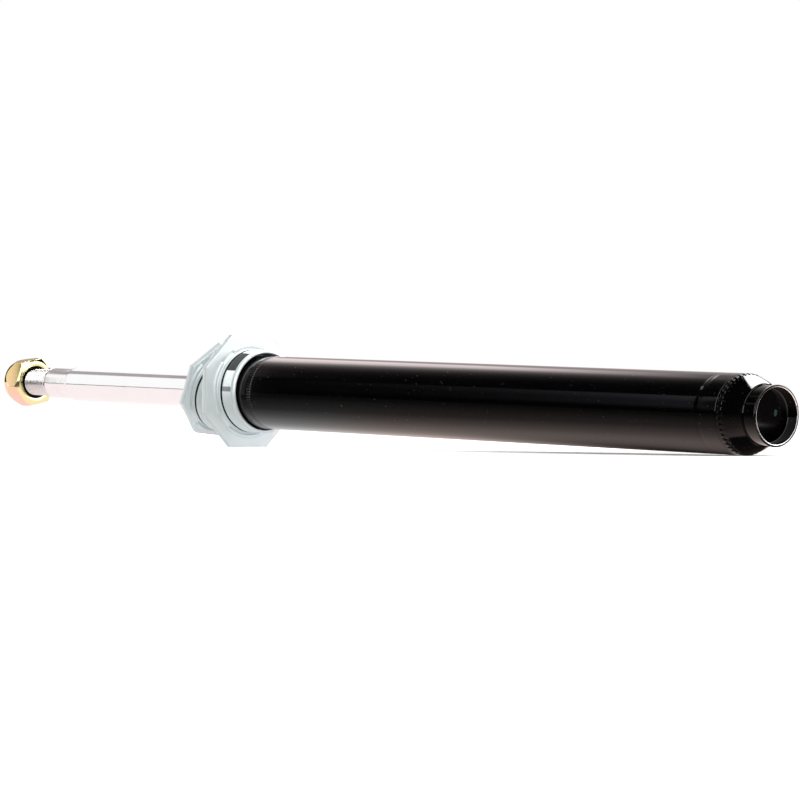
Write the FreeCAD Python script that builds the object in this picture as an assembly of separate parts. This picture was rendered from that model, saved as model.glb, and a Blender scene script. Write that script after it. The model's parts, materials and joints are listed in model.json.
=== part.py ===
"""Strut-insert shock absorber: a twin-tube damper with its rod, two gland nuts and a rod nut.

Millimetres. X runs along the damper's axis towards the rod end, Z is up as the damper lies.
The origin is on the axis at the root of the locating spigot, where the base cup's cone starts.
"""
import FreeCAD, Part
import math
import os
from FreeCAD import Vector

# Driving dimensions
TUBE_D = 42.0
TUBE_WALL = 2.0
ROD_D = 20.0
STUD_D = 16.0
CHAMBER_D = 30.0
CHAMBER_WALL = 1.5
TUBE_TOP_X = 419.0
FIT_GAP = 0.03

# Foot end
SPIGOT_D = 32.0
SPIGOT_LENGTH = 9.4
SPIGOT_RECESS_D = 28.8
SPIGOT_RECESS_DEPTH = 6.8
SPIGOT_CHAMFER = 0.6
CONE_ROOT_R = 16.2
CONE_EDGE_R = 20.5
CONE_LENGTH = 10.4
CONE_BULGE = 0.4
SHOULDER_LENGTH = 1.5
KNURL_LENGTH = 4.0
KNURL_COUNT = 44
KNURL_DEPTH = 0.9
KNURL_WIDTH = 1.6
CUP_WALL = 3.0
CUP_NECK_LENGTH = 6.0

# Rolled top of the tube and the seal stack under it
ROLL_THICKNESS = 1.5
ROLL_HOLE_R = 15.5
RETAINER_THICKNESS = 1.5
SEAL_LENGTH = 7.0
SEAL_BASE = 2.5
SEAL_LIP_R = 12.4
SEAL_WALL_R = 16.0
SEAL_SPRING_WIRE_R = 0.7
GUIDE_BODY_LENGTH = 17.0
GUIDE_SPIGOT_LENGTH = 6.0
BUSH_OUTER_R = 11.5
BUSH_LENGTH = 16.0
O_RING_WIRE_R = 0.9

# Foot valve
FOOT_FLANGE_LENGTH = 8.0
FOOT_SPIGOT_LENGTH = 6.0
FOOT_FLANGE_R = 18.5
FOOT_BOLT_D = 6.0
FOOT_PORT_D = 3.0
FOOT_PORT_COUNT = 8
FOOT_PORT_CIRCLE_R = 11.0
PLATE_THICKNESS = 0.8

# Rod and piston
SEAT_D = 18.0
SEAT_X = 589.4
STUD_X = 611.4
STUD_END_X = 650.4
TENON_D = 12.0
TENON_X = 322.0
PISTON_LENGTH = 14.0
BAND_LENGTH = 6.0
PISTON_GAP = 0.3
BAND_DEPTH = 0.9
PISTON_PORT_COUNT = 6
CUSHION_GAP = 0.4

# Rod nut
ROD_NUT_X = 631.9
ROD_NUT_LENGTH = 15.8
ROD_NUT_FLATS = 27.0
ROD_NUT_TURN = -19.0
ROD_NUT_SINK_R = 10.2
ROD_NUT_CROWN = 9.1

# Gland nuts
LOWER_NUT_FLATS = 65.0
LOWER_NUT_TURN = 22.5
LOWER_NUT_RISE = 0.5
LOWER_NUT_FACE_X = 419.4
LOWER_COLLAR_R = 24.0
LOWER_COLLAR_LENGTH = 15.0
LOWER_BORE_R = 22.1
LOWER_LIP_R = 16.0
UPPER_NUT_FLATS = 55.0
UPPER_NUT_TURN = 16.8
UPPER_NUT_TILT = 17.0
UPPER_NUT_FACE = Vector(443.8, 0.0, 0.12)
UPPER_COLLAR_R = 23.0
UPPER_COLLAR_LENGTH = 13.0
UPPER_BORE_R = 20.0
UPPER_HOLE_R = 11.8
UPPER_HOLE_LENGTH = 8.0
GLAND_FLANGE = 3.6
GLAND_EDGE = 0.7
GLAND_FILLET_R = 2.5
GLAND_RIM = 0.8

TUBE_R = TUBE_D / 2
TUBE_BORE_R = TUBE_R - TUBE_WALL
ROD_R = ROD_D / 2
STUD_R = STUD_D / 2
CHAMBER_R = CHAMBER_D / 2
TENON_R = TENON_D / 2
SEAT_R = SEAT_D / 2
KNURL_X = CONE_LENGTH
TUBE_X = CONE_LENGTH + KNURL_LENGTH
RETAINER_X = TUBE_TOP_X - ROLL_THICKNESS - RETAINER_THICKNESS
SEAL_X = RETAINER_X - SEAL_LENGTH
GUIDE_STEP_X = SEAL_X - GUIDE_BODY_LENGTH
GUIDE_X = GUIDE_STEP_X - GUIDE_SPIGOT_LENGTH
FOOT_VALVE_X = TUBE_X + CUP_NECK_LENGTH
FOOT_STEP_X = FOOT_VALVE_X + FOOT_FLANGE_LENGTH
FOOT_TOP_X = FOOT_STEP_X + FOOT_SPIGOT_LENGTH
X_AXIS = Vector(1, 0, 0)


def at(x, radius):
    """A point of a turned outline, in the plane above the axis."""
    return Vector(x, 0, radius)


def turned(*steps):
    """A solid of revolution about X; a step is (x, radius), or (through, to) for a rounded stretch."""
    edges = []
    here = at(*steps[0])
    for step in steps[1:] + (steps[0],):
        if isinstance(step[0], tuple):
            through, end = at(*step[0]), at(*step[1])
            edges.append(Part.Arc(here, through, end).toShape())
        else:
            end = at(*step)
            edges.append(Part.LineSegment(here, end).toShape())
        here = end
    face = Part.Face(Part.Wire(edges))
    return face.revolve(Vector(0, 0, 0), X_AXIS, 360)


def ring(inner_r, outer_r, x, length):
    """A plain ring about the axis."""
    return turned((x, inner_r), (x + length, inner_r), (x + length, outer_r), (x, outer_r))


def disc(outer_r, x, length):
    """A plain disc or shaft about the axis."""
    return Part.makeCylinder(outer_r, length, Vector(x, 0, 0), X_AXIS)


def prism(sides, flats, x, length, turn):
    """A regular prism about the axis; turn is its first corner's angle from up, towards +Y."""
    corner_r = flats / 2 / math.cos(math.pi / sides)
    points = []
    for index in range(sides + 1):
        angle = math.radians(turn + 360.0 / sides * index)
        points.append(Vector(x, corner_r * math.sin(angle), corner_r * math.cos(angle)))
    return Part.Face(Part.makePolygon(points)).extrude(Vector(length, 0, 0))


def around(shape, count, first=0.0):
    """Copies of a shape spaced evenly about the axis."""
    copies = []
    for index in range(count):
        copy = shape.copy()
        copy.rotate(Vector(0, 0, 0), X_AXIS, first + 360.0 / count * index)
        copies.append(copy)
    return Part.makeCompound(copies)


def ports(diameter, circle_r, x, length, count, first=0.0):
    """A circle of axial holes."""
    hole = Part.makeCylinder(diameter / 2, length, Vector(x, 0, circle_r), X_AXIS)
    return around(hole, count, first)


def torus(ring_r, wire_r, x):
    """A round-section ring about the axis."""
    return Part.makeTorus(ring_r, wire_r, Vector(x, 0, 0), X_AXIS)


def hex_nut(flats, x, length, bore_r, turn, sink_r, crown=0.0):
    """A hexagon nut with a countersunk bore, both ends chamfered to a washer face or the far one tapered."""
    face_r = flats / 2 * 0.94
    corner_r = flats / math.sqrt(3) + 0.2
    drop = (corner_r - face_r) * math.tan(math.radians(30))
    sink = sink_r - bore_r
    end = x + length
    blank = turned((x, sink_r), (x + sink, bore_r), (end - sink, bore_r), (end, sink_r),
                   (end, face_r), (end - max(crown, drop), corner_r), (x + drop, corner_r), (x, face_r))
    return blank.common(prism(6, flats, x, length, turn))


def dished_spring(inner_r, outer_r, x, height, thickness):
    """A thin coned spring washer."""
    return turned((x, outer_r), (x + height - thickness, inner_r), (x + height, inner_r), (x + thickness, outer_r))


def outer_tube():
    roll_x = TUBE_TOP_X - ROLL_THICKNESS
    bend = TUBE_WALL
    half = bend * (1 - math.sqrt(0.5))
    return turned((TUBE_X, TUBE_BORE_R), (roll_x, TUBE_BORE_R), (roll_x, ROLL_HOLE_R), (TUBE_TOP_X, ROLL_HOLE_R),
                  (TUBE_TOP_X, TUBE_R - bend), ((TUBE_TOP_X - half, TUBE_R - half), (TUBE_TOP_X - bend, TUBE_R)),
                  (TUBE_X, TUBE_R))


def base_cup():
    """The cone, its notched band and a neck that sits inside the tube."""
    neck_r = TUBE_BORE_R - CUP_WALL
    inside_x = CUP_WALL
    neck_end = TUBE_X + CUP_NECK_LENGTH
    bulge = (CONE_LENGTH / 2, (CONE_ROOT_R + CONE_EDGE_R) / 2 + CONE_BULGE)
    cup = turned((0, 0), (inside_x, 0), (inside_x, CONE_ROOT_R - CUP_WALL),
                 ((inside_x + 4.5, neck_r - 0.9), (inside_x + 9.0, neck_r)),
                 (neck_end, neck_r), (neck_end, TUBE_BORE_R), (TUBE_X, TUBE_BORE_R), (TUBE_X, TUBE_R),
                 (KNURL_X + SHOULDER_LENGTH, TUBE_R), (KNURL_X, CONE_EDGE_R), (bulge, (0, CONE_ROOT_R)))
    notch_x = KNURL_X - 2.0
    notch_end = TUBE_X - 1.5 - KNURL_WIDTH / 2
    notch_floor = TUBE_R - KNURL_DEPTH
    notch = Part.makeBox(notch_end - notch_x, KNURL_WIDTH, KNURL_DEPTH * 2,
                         Vector(notch_x, -KNURL_WIDTH / 2, notch_floor))
    notch = notch.fuse(Part.makeCylinder(KNURL_WIDTH / 2, KNURL_DEPTH * 2, Vector(notch_end, 0, notch_floor)))
    return cup.cut(around(notch, KNURL_COUNT))


def locating_spigot():
    outer_r = SPIGOT_D / 2
    recess_r = SPIGOT_RECESS_D / 2
    floor_x = SPIGOT_RECESS_DEPTH - SPIGOT_LENGTH
    return turned((-SPIGOT_LENGTH, recess_r), (floor_x, recess_r), (floor_x, 0), (0, 0), (0, outer_r),
                  (SPIGOT_CHAMFER - SPIGOT_LENGTH, outer_r), (-SPIGOT_LENGTH, outer_r - SPIGOT_CHAMFER))


def pressure_tube():
    return ring(CHAMBER_R, CHAMBER_R + CHAMBER_WALL, FOOT_STEP_X, GUIDE_STEP_X - FOOT_STEP_X)


def rod_guide():
    """Aluminium guide: its spigot centres the pressure tube, its body fills the outer tube."""
    bush_x = SEAL_X - BUSH_LENGTH - 3.0
    clear_r = ROD_R + 0.6
    groove_x = GUIDE_STEP_X + GUIDE_BODY_LENGTH / 2
    body = turned((GUIDE_X, clear_r), (bush_x, clear_r), (bush_x, BUSH_OUTER_R),
                  (bush_x + BUSH_LENGTH, BUSH_OUTER_R), (bush_x + BUSH_LENGTH, clear_r), (SEAL_X, clear_r),
                  (SEAL_X, TUBE_BORE_R), (GUIDE_STEP_X, TUBE_BORE_R), (GUIDE_STEP_X, CHAMBER_R),
                  (GUIDE_X, CHAMBER_R))
    groove_depth = O_RING_WIRE_R * 2
    groove_width = groove_depth + 0.3
    return body.cut(ring(TUBE_BORE_R - groove_depth - 0.05, TUBE_R, groove_x - groove_width / 2, groove_width))


def guide_bush():
    return ring(ROD_R + FIT_GAP, BUSH_OUTER_R, SEAL_X - BUSH_LENGTH - 3.0, BUSH_LENGTH)


def guide_o_ring():
    return torus(TUBE_BORE_R - O_RING_WIRE_R - 0.02, O_RING_WIRE_R, GUIDE_STEP_X + GUIDE_BODY_LENGTH / 2)


def rod_seal():
    """Rubber seal with a sealing lip on the rod and an open pocket for its garter spring."""
    lip_end = SEAL_X + SEAL_LENGTH - 1.0
    seal_end = SEAL_X + SEAL_LENGTH
    base_end = SEAL_X + SEAL_BASE
    return turned((SEAL_X, ROD_R + 0.8), (base_end - 0.5, ROD_R + 0.8), (base_end, ROD_R + FIT_GAP),
                  (base_end + 1.2, ROD_R + FIT_GAP), (base_end + 1.8, ROD_R + 0.5), (lip_end - 0.8, ROD_R + 0.5),
                  (lip_end, ROD_R + FIT_GAP), (lip_end, SEAL_LIP_R), (base_end, SEAL_LIP_R), (base_end, SEAL_WALL_R),
                  (seal_end, SEAL_WALL_R), (seal_end, TUBE_BORE_R), (SEAL_X, TUBE_BORE_R))


def seal_spring():
    middle_x = SEAL_X + SEAL_BASE + 2.0
    return torus(SEAL_LIP_R + SEAL_SPRING_WIRE_R + 0.02, SEAL_SPRING_WIRE_R, middle_x)


def seal_retainer():
    return ring(ROD_R + 0.8, TUBE_BORE_R - 0.05, RETAINER_X, RETAINER_THICKNESS)


def foot_valve_body():
    """Flanged valve seat: the flange stands on the cup's neck, the spigot enters the pressure tube."""
    bolt_r = FOOT_BOLT_D / 2
    body = turned((FOOT_VALVE_X, bolt_r), (FOOT_TOP_X, bolt_r), (FOOT_TOP_X, CHAMBER_R), (FOOT_STEP_X, CHAMBER_R),
                  (FOOT_STEP_X, FOOT_FLANGE_R), (FOOT_VALVE_X, FOOT_FLANGE_R))
    intake = ports(FOOT_PORT_D, FOOT_PORT_CIRCLE_R, FOOT_VALVE_X, FOOT_TOP_X - FOOT_VALVE_X, FOOT_PORT_COUNT)
    bleed = ports(2.0, FOOT_PORT_CIRCLE_R - 4.4, FOOT_VALVE_X, FOOT_TOP_X - FOOT_VALVE_X, FOOT_PORT_COUNT // 2)
    slot = Part.makeBox(2.5, 4.0, FOOT_FLANGE_R, Vector(FOOT_VALVE_X, -2.0, FOOT_PORT_CIRCLE_R))
    return body.cut(intake).cut(bleed).cut(around(slot, FOOT_PORT_COUNT // 2))


def foot_valve_bolt():
    head_r = 5.0
    head_length = 4.0
    disc_height = 1.6
    head_x = FOOT_VALVE_X - disc_height - head_length
    shank = disc(FOOT_BOLT_D / 2, head_x + head_length, FOOT_TOP_X + 9.0 - head_x - head_length)
    return disc(head_r, head_x, head_length).fuse(shank)


def foot_valve_discs():
    """Four spring-steel discs under the seat, each smaller than the last."""
    thickness = 0.4
    discs = []
    for index in range(4):
        discs.append(ring(FOOT_BOLT_D / 2 + FIT_GAP, 8.8 - index, FOOT_VALVE_X - thickness * (index + 1), thickness))
    return Part.makeCompound(discs)


def foot_check_plate():
    """Covers the intake ports from above and leaves the bleed ports open."""
    return ring(FOOT_PORT_CIRCLE_R - 2.6, FOOT_PORT_CIRCLE_R + 3.6, FOOT_TOP_X, PLATE_THICKNESS)


def foot_check_spring():
    base_x = FOOT_TOP_X + PLATE_THICKNESS
    return dished_spring(FOOT_BOLT_D / 2 + FIT_GAP, 10.5, base_x + 0.02, 3.2, 0.35)


def foot_valve_nut():
    return hex_nut(10.0, FOOT_TOP_X + PLATE_THICKNESS + 3.3, 4.6, FOOT_BOLT_D / 2 + FIT_GAP, 0.0, 3.4)


# The piston's stack runs from the rod's shoulder back towards the foot
SPRING_WASHER_THICKNESS = 2.5
CHECK_SPRING_HEIGHT = 3.0
PISTON_TOP_X = TENON_X - SPRING_WASHER_THICKNESS - CHECK_SPRING_HEIGHT - PLATE_THICKNESS
PISTON_X = PISTON_TOP_X - PISTON_LENGTH
BAND_X = PISTON_X + (PISTON_LENGTH - BAND_LENGTH) / 2
REBOUND_DISC_THICKNESS = 0.5
REBOUND_DISC_COUNT = 4
CLAMP_WASHER_THICKNESS = 2.0
CLAMP_WASHER_X = PISTON_X - REBOUND_DISC_THICKNESS * REBOUND_DISC_COUNT - CLAMP_WASHER_THICKNESS
PISTON_NUT_LENGTH = 10.0
PISTON_NUT_X = CLAMP_WASHER_X - PISTON_NUT_LENGTH
TENON_END_X = PISTON_NUT_X - 1.5
CUSHION_LENGTH = 9.0
CUSHION_X = GUIDE_X - CUSHION_GAP - CUSHION_LENGTH
COLLAR_LENGTH = 5.0
COLLAR_X = CUSHION_X - COLLAR_LENGTH
CLIP_WIRE = 2.0
CLIP_DEPTH = 0.8
CLIP_X = COLLAR_X - CLIP_WIRE


def piston_rod():
    """Tenon for the piston, ground rod with a clip groove, reduced seat and the stud."""
    bevel = 1.0
    relief_r = STUD_R - 0.9
    return turned((TENON_END_X, 0), (TENON_END_X, TENON_R - bevel), (TENON_END_X + bevel, TENON_R),
                  (TENON_X, TENON_R), (TENON_X, ROD_R), (CLIP_X, ROD_R), (CLIP_X, ROD_R - CLIP_DEPTH),
                  (COLLAR_X, ROD_R - CLIP_DEPTH), (COLLAR_X, ROD_R), (SEAT_X - bevel, ROD_R), (SEAT_X, SEAT_R),
                  (STUD_X - 0.5, SEAT_R), (STUD_X, SEAT_R - 0.5), (STUD_X, relief_r), (STUD_X + 1.6, relief_r),
                  (STUD_X + 2.5, STUD_R), (STUD_END_X - bevel, STUD_R), (STUD_END_X, STUD_R - bevel),
                  (STUD_END_X, 0))


def rod_nut():
    """Nut on the stud, its far half tapered at the corners like that of a locking nut."""
    return hex_nut(ROD_NUT_FLATS, ROD_NUT_X, ROD_NUT_LENGTH, STUD_R + FIT_GAP, ROD_NUT_TURN, ROD_NUT_SINK_R,
                   ROD_NUT_CROWN)


def piston():
    """Sintered piston with a band groove, outer compression ports and inner rebound ports."""
    outer_r = CHAMBER_R - PISTON_GAP
    groove_r = CHAMBER_R - BAND_DEPTH - 0.1
    body = turned((PISTON_X, TENON_R + FIT_GAP), (PISTON_TOP_X, TENON_R + FIT_GAP), (PISTON_TOP_X, outer_r),
                  (BAND_X + BAND_LENGTH, outer_r), (BAND_X + BAND_LENGTH, groove_r), (BAND_X, groove_r),
                  (BAND_X, outer_r), (PISTON_X, outer_r))
    compression = ports(2.4, 12.1, PISTON_X, PISTON_LENGTH, PISTON_PORT_COUNT)
    rebound = ports(2.0, 8.4, PISTON_X, PISTON_LENGTH, PISTON_PORT_COUNT, 180.0 / PISTON_PORT_COUNT)
    return body.cut(compression).cut(rebound)


def piston_band():
    end_gap = 0.05
    inner_r = CHAMBER_R - BAND_DEPTH - 0.05
    return ring(inner_r, CHAMBER_R - FIT_GAP, BAND_X + end_gap, BAND_LENGTH - end_gap * 2)


def piston_check_plate():
    """Covers the compression ports from above and leaves the rebound ports open."""
    return ring(10.2, 13.9, PISTON_TOP_X, PLATE_THICKNESS)


def piston_check_spring():
    return dished_spring(TENON_R + FIT_GAP, 12.6, PISTON_TOP_X + PLATE_THICKNESS + 0.02,
                         CHECK_SPRING_HEIGHT - 0.04, 0.35)


def spring_washer():
    return ring(TENON_R + FIT_GAP, 9.6, TENON_X - SPRING_WASHER_THICKNESS, SPRING_WASHER_THICKNESS)


def rebound_discs():
    """Four spring-steel discs over the rebound ports, each smaller than the last."""
    discs = []
    for index in range(REBOUND_DISC_COUNT):
        disc_x = PISTON_X - REBOUND_DISC_THICKNESS * (index + 1)
        discs.append(ring(TENON_R + FIT_GAP, 10.2 - 0.6 * index, disc_x, REBOUND_DISC_THICKNESS))
    return Part.makeCompound(discs)


def clamp_washer():
    return ring(TENON_R + FIT_GAP, 8.0, CLAMP_WASHER_X, CLAMP_WASHER_THICKNESS)


def piston_nut():
    return hex_nut(18.0, PISTON_NUT_X, PISTON_NUT_LENGTH, TENON_R + FIT_GAP, 0.0, TENON_R + 0.8)


def stop_clip():
    """Open spring clip in the rod's groove."""
    clip = ring(ROD_R - CLIP_DEPTH, ROD_R + 1.8, CLIP_X, CLIP_WIRE)
    gap = Part.makeBox(CLIP_WIRE, 4.0, ROD_D, Vector(CLIP_X, -2.0, 0))
    return clip.cut(gap)


def rebound_stop_collar():
    return ring(ROD_R + FIT_GAP, 13.5, COLLAR_X, COLLAR_LENGTH)


def rebound_cushion():
    bulge = 0.9
    outer_r = 13.0
    end = CUSHION_X + CUSHION_LENGTH
    return turned((CUSHION_X, ROD_R + FIT_GAP), (end, ROD_R + FIT_GAP), (end, outer_r),
                  ((CUSHION_X + CUSHION_LENGTH / 2, outer_r + bulge), (CUSHION_X, outer_r)))


def gland_flange(flats, turn):
    """Eight-sided plate standing on x = 0, its corners eased at both faces."""
    corner_r = flats / 2 / math.cos(math.pi / 8) + 0.2
    face_r = flats / 2 * 0.985
    eased = turned((0, 0), (GLAND_FLANGE, 0), (GLAND_FLANGE, face_r), (GLAND_FLANGE - GLAND_EDGE, corner_r),
                   (GLAND_EDGE, corner_r), (0, face_r))
    return prism(8, flats, 0, GLAND_FLANGE, turn).common(eased)


def gland_collar(collar_r, length):
    """Collar behind the flange, with a hollow fillet at the root and an eased rim."""
    half = GLAND_FILLET_R * (1 - math.sqrt(0.5))
    return turned((0, 0), (0, collar_r + GLAND_FILLET_R), ((-half, collar_r + half), (-GLAND_FILLET_R, collar_r)),
                  (GLAND_RIM - length, collar_r), (-length, collar_r - GLAND_RIM), (-length, 0))


def lower_gland_nut():
    """Larger nut, seated over the rolled top of the tube and resting on it."""
    nut = gland_flange(LOWER_NUT_FLATS, LOWER_NUT_TURN).fuse(gland_collar(LOWER_COLLAR_R, LOWER_COLLAR_LENGTH))
    nut = nut.cut(disc(LOWER_BORE_R, -LOWER_COLLAR_LENGTH, LOWER_COLLAR_LENGTH))
    nut = nut.cut(disc(LOWER_LIP_R, 0, GLAND_FLANGE)).removeSplitter()
    nut.translate(Vector(LOWER_NUT_FACE_X, 0, LOWER_NUT_RISE))
    return nut


def upper_gland_nut():
    """Smaller nut, hanging on the rod and tipped until its hole's two edges meet the rod."""
    nut = gland_flange(UPPER_NUT_FLATS, UPPER_NUT_TURN).fuse(gland_collar(UPPER_COLLAR_R, UPPER_COLLAR_LENGTH))
    pocket_end = GLAND_FLANGE - UPPER_HOLE_LENGTH
    nut = nut.cut(disc(UPPER_BORE_R, -UPPER_COLLAR_LENGTH, UPPER_COLLAR_LENGTH + pocket_end))
    nut = nut.cut(disc(UPPER_HOLE_R, pocket_end, UPPER_HOLE_LENGTH)).removeSplitter()
    nut.rotate(Vector(0, 0, 0), Vector(0, 1, 0), -UPPER_NUT_TILT)
    nut.translate(UPPER_NUT_FACE)
    return nut


NODES = (outer_tube, base_cup, locating_spigot, pressure_tube, rod_guide, guide_bush, guide_o_ring, rod_seal,
         seal_spring, seal_retainer, foot_valve_body, foot_valve_bolt, foot_valve_discs, foot_check_plate,
         foot_check_spring, foot_valve_nut, piston_rod, rod_nut, piston, piston_band, piston_check_plate,
         piston_check_spring, spring_washer, rebound_discs, clamp_washer, piston_nut, stop_clip,
         rebound_stop_collar, rebound_cushion, lower_gland_nut, upper_gland_nut)


def main():
    os.makedirs("parts", exist_ok=True)
    for build in NODES:
        shape = build()
        if not shape.isValid():
            raise RuntimeError("invalid shape: " + build.__name__)
        shape.exportStep("parts/" + build.__name__ + ".step")


if __name__ == "__main__":
    main()
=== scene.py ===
"""Dresses a strut-insert shock absorber: painted tube, chromed rod, plated nuts and the studio."""
import json
import math

import bmesh
import bpy
from bpy.props import FloatProperty, FloatVectorProperty, IntProperty, PointerProperty
from mathutils import Matrix, Vector


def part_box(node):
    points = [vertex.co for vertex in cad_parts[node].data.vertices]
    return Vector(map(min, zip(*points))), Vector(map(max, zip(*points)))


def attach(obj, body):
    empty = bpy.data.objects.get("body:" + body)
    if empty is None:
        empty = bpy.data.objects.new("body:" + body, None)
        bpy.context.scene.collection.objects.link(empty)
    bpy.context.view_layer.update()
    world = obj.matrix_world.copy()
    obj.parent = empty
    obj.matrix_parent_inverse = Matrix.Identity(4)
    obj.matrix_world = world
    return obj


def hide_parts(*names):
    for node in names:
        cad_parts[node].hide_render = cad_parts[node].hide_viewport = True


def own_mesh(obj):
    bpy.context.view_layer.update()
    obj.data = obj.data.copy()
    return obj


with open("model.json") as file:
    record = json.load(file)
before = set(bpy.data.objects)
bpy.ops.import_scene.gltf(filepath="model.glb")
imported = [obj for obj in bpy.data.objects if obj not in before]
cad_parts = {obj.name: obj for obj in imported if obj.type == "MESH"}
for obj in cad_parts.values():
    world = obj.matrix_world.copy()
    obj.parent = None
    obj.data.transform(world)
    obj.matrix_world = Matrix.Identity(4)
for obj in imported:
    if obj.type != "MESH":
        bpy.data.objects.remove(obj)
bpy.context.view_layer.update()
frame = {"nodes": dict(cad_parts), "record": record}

bl_info = {
    "name": "Strut insert damper",
    "version": (1, 0, 0),
    "blender": (4, 5, 0),
    "location": "View3D > Sidebar > Damper",
    "description": "Dresses the damper's solids with painted, chromed and plated pieces on a pale floor",
    "category": "Object",
}

MM = 0.001
FULL_TURN = 2 * math.pi
CREASE_ANGLE = math.radians(32)
ROUND_STEPS = 192
NOTCH_STEPS = 16
CRIMP_STEPS = 8
THREAD_STEPS = 14
CORNER_STEPS = 6
SIDE_STEPS = 24
SHEET = [(0, 1, 2, 3)]
WHITE = (1.0, 1.0, 1.0, 1.0)

TUBE_LOW, TUBE_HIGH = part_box("outer_tube")
SPIGOT_LOW, SPIGOT_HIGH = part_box("locating_spigot")
ROD_LOW, ROD_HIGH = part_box("piston_rod")
ROD_NUT_LOW, ROD_NUT_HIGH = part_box("rod_nut")
LOWER_NUT_LOW, LOWER_NUT_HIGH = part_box("lower_gland_nut")


def length(name, description, default):
    """A size in metres that the sidebar shows in the scene's units."""
    return FloatProperty(name=name, description=description, default=default, precision=5, unit="LENGTH")


def angle(name, description, default):
    """An angle, given here in degrees."""
    return FloatProperty(name=name, description=description, default=math.radians(default), subtype="ANGLE")


def colour(name, description, default):
    """A linear colour without alpha."""
    return FloatVectorProperty(name=name, description=description, default=default, size=3, min=0, max=1,
                               subtype="COLOR")


class DamperTube(bpy.types.PropertyGroup):
    """Sizes of the painted tube."""

    radius: length("Radius", "Outside radius of the tube", TUBE_HIGH.z)
    wall: length("Wall", "Thickness of the tube's wall", 2.0 * MM)
    start: length("Start", "Where the tube leaves the base cup", TUBE_LOW.x)
    end: length("End", "Where the rolled top of the tube ends", TUBE_HIGH.x)
    roll_thickness: length("Roll thickness", "Thickness of the rolled top", 1.5 * MM)
    roll_hole: length("Roll hole", "Radius of the hole in the rolled top", 15.5 * MM)
    neck: length("Neck", "Place of the shallow groove above the base cup", 27.4 * MM)
    neck_depth: length("Neck depth", "Depth of that groove", 0.07 * MM)
    crimp: length("Crimp", "Place of the ring of crimp marks under the larger gland nut", 395.4 * MM)
    crimp_depth: length("Crimp depth", "Depth of the crimp marks", 0.16 * MM)
    crimp_count: IntProperty(name="Crimps", description="Number of crimp marks", default=88)


class DamperFoot(bpy.types.PropertyGroup):
    """Sizes of the base cup and its locating spigot."""

    cone_root: length("Cone root", "Radius where the cone meets the spigot", 16.2 * MM)
    cone_edge: length("Cone edge", "Radius where the cone meets the notched band", 20.5 * MM)
    cone_length: length("Cone length", "Length of the cone along the axis", 10.4 * MM)
    cone_bulge: length("Cone bulge", "How far the cone swells from a straight one", 0.4 * MM)
    lip: length("Lip", "Length of the rounded lip between the cone and the band", 0.8 * MM)
    notch_count: IntProperty(name="Notches", description="Number of notches round the cup", default=44)
    notch_depth: length("Notch depth", "Depth of the notches", 0.9 * MM)
    notch_width: length("Notch width", "Width of the notches", 1.7 * MM)
    spigot_radius: length("Spigot radius", "Outside radius of the spigot's rim", SPIGOT_HIGH.z)
    spigot_neck: length("Spigot neck", "Radius of the spigot behind its rim", 15.4 * MM)
    spigot_end: length("Spigot end", "Where the spigot's rim ends", SPIGOT_LOW.x)
    recess_radius: length("Recess radius", "Radius of the hollow in the spigot", 14.4 * MM)
    recess_depth: length("Recess depth", "Depth of the hollow in the spigot", 6.8 * MM)
    dab_radius: length("Dab radius", "Size of the inspection dab of paint", 1.4 * MM)


class DamperRod(bpy.types.PropertyGroup):
    """Sizes of the chromed rod and its stud."""

    radius: length("Radius", "Radius of the chromed rod", ROD_HIGH.z)
    tenon_radius: length("Tenon radius", "Radius of the tenon that carries the piston", 6.0 * MM)
    tenon_end: length("Tenon end", "Where the tenon's shoulder is", 322.0 * MM)
    clip_groove: length("Clip groove", "Start of the stop clip's groove", 369.6 * MM)
    clip_width: length("Clip width", "Width of the stop clip's groove", 2.0 * MM)
    clip_depth: length("Clip depth", "Depth of the stop clip's groove", 0.8 * MM)
    seat_radius: length("Seat radius", "Radius of the reduced seat", 9.0 * MM)
    seat_start: length("Seat start", "Where the reduced seat starts", 589.4 * MM)
    stud_radius: length("Stud radius", "Outside radius of the stud's thread", 8.0 * MM)
    stud_start: length("Stud start", "Where the stud starts", 611.4 * MM)
    thread_pitch: length("Thread pitch", "Pitch of the stud's thread", 1.5 * MM)
    thread_depth: length("Thread depth", "Depth of the stud's thread", 0.85 * MM)


class DamperRodNut(bpy.types.PropertyGroup):
    """Sizes of the hexagon nut on the stud."""

    flats: length("Flats", "Distance across the flats", 27.0 * MM)
    turn: angle("Turn", "First corner's angle from up", -19.0)
    face_radius: length("Face radius", "Radius of the washer face", 12.69 * MM)
    sink_radius: length("Sink radius", "Radius of the countersink", 10.2 * MM)
    bore_radius: length("Bore radius", "Radius of the bore", 8.03 * MM)
    crown: length("Crown", "Length of the taper on the far half's corners", 8.5 * MM)


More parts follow.
